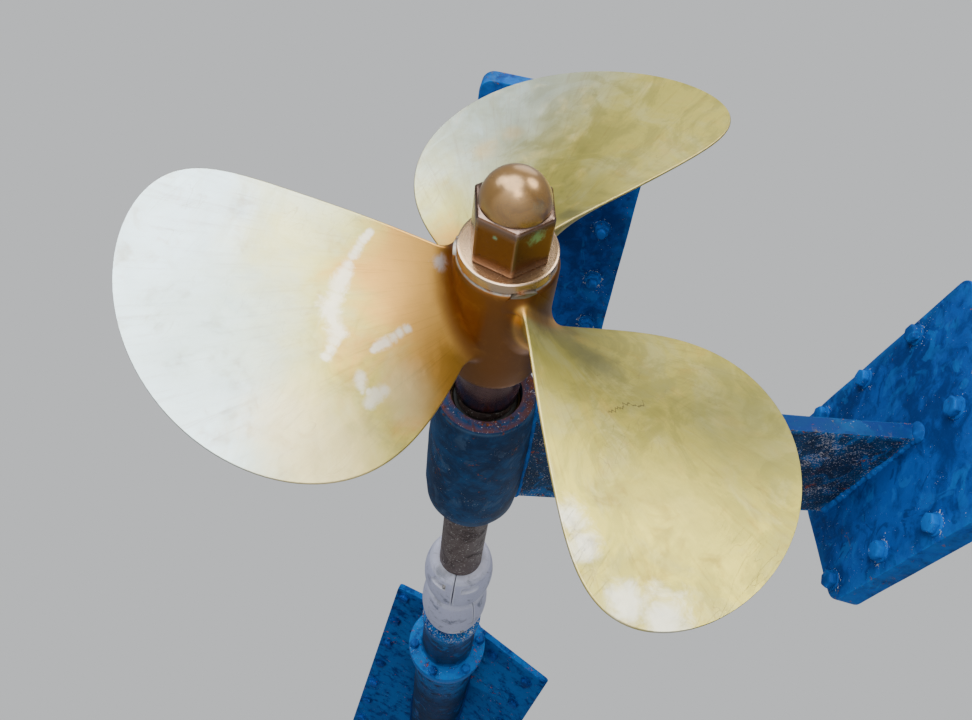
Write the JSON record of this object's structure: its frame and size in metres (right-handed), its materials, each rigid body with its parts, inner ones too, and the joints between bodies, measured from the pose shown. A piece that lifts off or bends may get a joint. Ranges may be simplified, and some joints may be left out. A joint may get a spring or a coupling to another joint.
{
  "type": "ship propeller with shaft line",
  "caption": "Broad-bladed bronze propeller with domed nut on a turning tail shaft with zinc anodes, carried by a painted V-bracket, stern bearing and shaft log.",
  "frame": {"origin": "on the hull side of the port palm, at the middle of that palm", "axes": "+Z out of the port palm's hull side, up into the hull; +Y forward along that palm; +X starboard"},
  "size_m": [1.0656, 2.3462, 0.9838],
  "materials": {
    "strut_barrel": "worn antifouling paint",
    "strut_bearing_shell": "machined",
    "strut_bearing_rubber": "matt",
    "starboard_arm": "worn antifouling paint",
    "port_arm": "worn antifouling paint",
    "starboard_palm": "worn antifouling paint",
    "port_palm": "worn antifouling paint",
    "stern_bearing_housing": "worn antifouling paint",
    "stern_bearing_bush": "machined",
    "stern_tube_flange": "worn antifouling paint",
    "stern_tube": "worn antifouling paint",
    "shaft_log_plate": "worn antifouling paint",
    "tail_shaft": "stained",
    "propeller": "polished, worn",
    "propeller_nut": "polished with verdigris",
    "nut_washer": "satin",
    "shaft_sleeve": "dark tarnished",
    "aft_anode_near_half": "chalky zinc",
    "aft_anode_far_half": "chalky zinc",
    "forward_anode_near_half": "chalky zinc",
    "forward_anode_far_half": "chalky zinc"
  },
  "bodies": {
    "hull_fittings": {"strut_barrel": "strut_barrel", "strut_bearing_shell": "strut_bearing_shell", "strut_bearing_rubber": "strut_bearing_rubber", "starboard_arm": "starboard_arm", "port_arm": "port_arm", "starboard_palm": "starboard_palm", "port_palm": "port_palm", "stern_bearing_housing": "stern_bearing_housing", "stern_bearing_bush": "stern_bearing_bush", "stern_tube_flange": "stern_tube_flange", "stern_tube": "stern_tube", "shaft_log_plate": "shaft_log_plate"},
    "shaft_line": {"tail_shaft": "tail_shaft", "propeller": "propeller", "propeller_nut": "propeller_nut", "nut_washer": "nut_washer", "shaft_sleeve": "shaft_sleeve", "aft_anode_near_half": "aft_anode_near_half", "aft_anode_far_half": "aft_anode_far_half", "forward_anode_near_half": "forward_anode_near_half", "forward_anode_far_half": "forward_anode_far_half"}
  },
  "joints": [
    {"name": "shaft_turn", "type": "hinge", "parent": "hull_fittings", "child": "shaft_line", "pos_m": [-0.02125, -0.30499, -0.63875], "axis": [0, -0.9816, -0.1908], "continuous": true}
  ]
}
